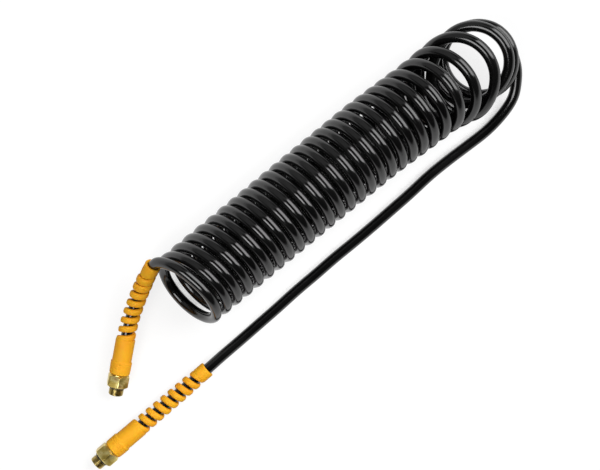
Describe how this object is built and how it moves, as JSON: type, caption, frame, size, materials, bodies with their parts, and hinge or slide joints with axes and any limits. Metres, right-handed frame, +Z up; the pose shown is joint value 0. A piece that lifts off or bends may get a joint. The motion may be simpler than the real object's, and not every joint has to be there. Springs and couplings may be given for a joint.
{
  "type": "coiled air hose",
  "caption": "Recoil air hose: a coil of black plastic tube whose two straight leads end in slotted yellow flex guards and hexagon swivel studs with male threads.",
  "frame": {"origin": "on the floor, under the middle of the resting hose's box", "axes": "+X along the coil's axis, away from both fittings; +Z up; the rear lead lies on the -Y side"},
  "size_m": [0.6375, 0.1459, 0.09],
  "materials": {
    "hose": "glossy",
    "guard": "satin",
    "stud": "yellow zinc plated",
    "nipple": "turned",
    "ferrule": "crimped",
    "seal": "matte",
    "washer": "smooth",
    "snap_ring": "phosphated"
  },
  "bodies": {
    "coil": {"hose_coil": "hose", "hose_rear_lead": "hose", "rear_flex_guard": "guard", "rear_ferrule": "ferrule", "rear_nipple": "nipple", "rear_swivel_seal": "seal"},
    "front_end": {"hose_front_lead": "hose", "front_flex_guard": "guard", "front_ferrule": "ferrule", "front_nipple": "nipple", "front_swivel_seal": "seal"},
    "front_stud": {"front_hex_stud": "stud", "front_port_seal": "seal", "front_thrust_washer": "washer", "front_snap_ring": "snap_ring"},
    "rear_stud": {"rear_hex_stud": "stud", "rear_port_seal": "seal", "rear_thrust_washer": "washer", "rear_snap_ring": "snap_ring"}
  },
  "joints": [
    {"name": "coil_stretch", "type": "slide", "parent": "coil", "child": "front_end", "axis": [-1, 0, 0], "range_m": [0, 3.5], "stiffness_N_per_m": 18.5, "deforming": ["hose_coil"]},
    {"name": "front_swivel", "type": "hinge", "parent": "front_end", "child": "front_stud", "pos_m": [-0.2364, -0.0013, 0.01441], "axis": [-0.7621, -0.6282, -0.1564], "continuous": true},
    {"name": "rear_swivel", "type": "hinge", "parent": "coil", "child": "rear_stud", "pos_m": [-0.2949, -0.0608, 0.01255], "axis": [-0.9997, -0.0227, 0], "continuous": true}
  ]
}
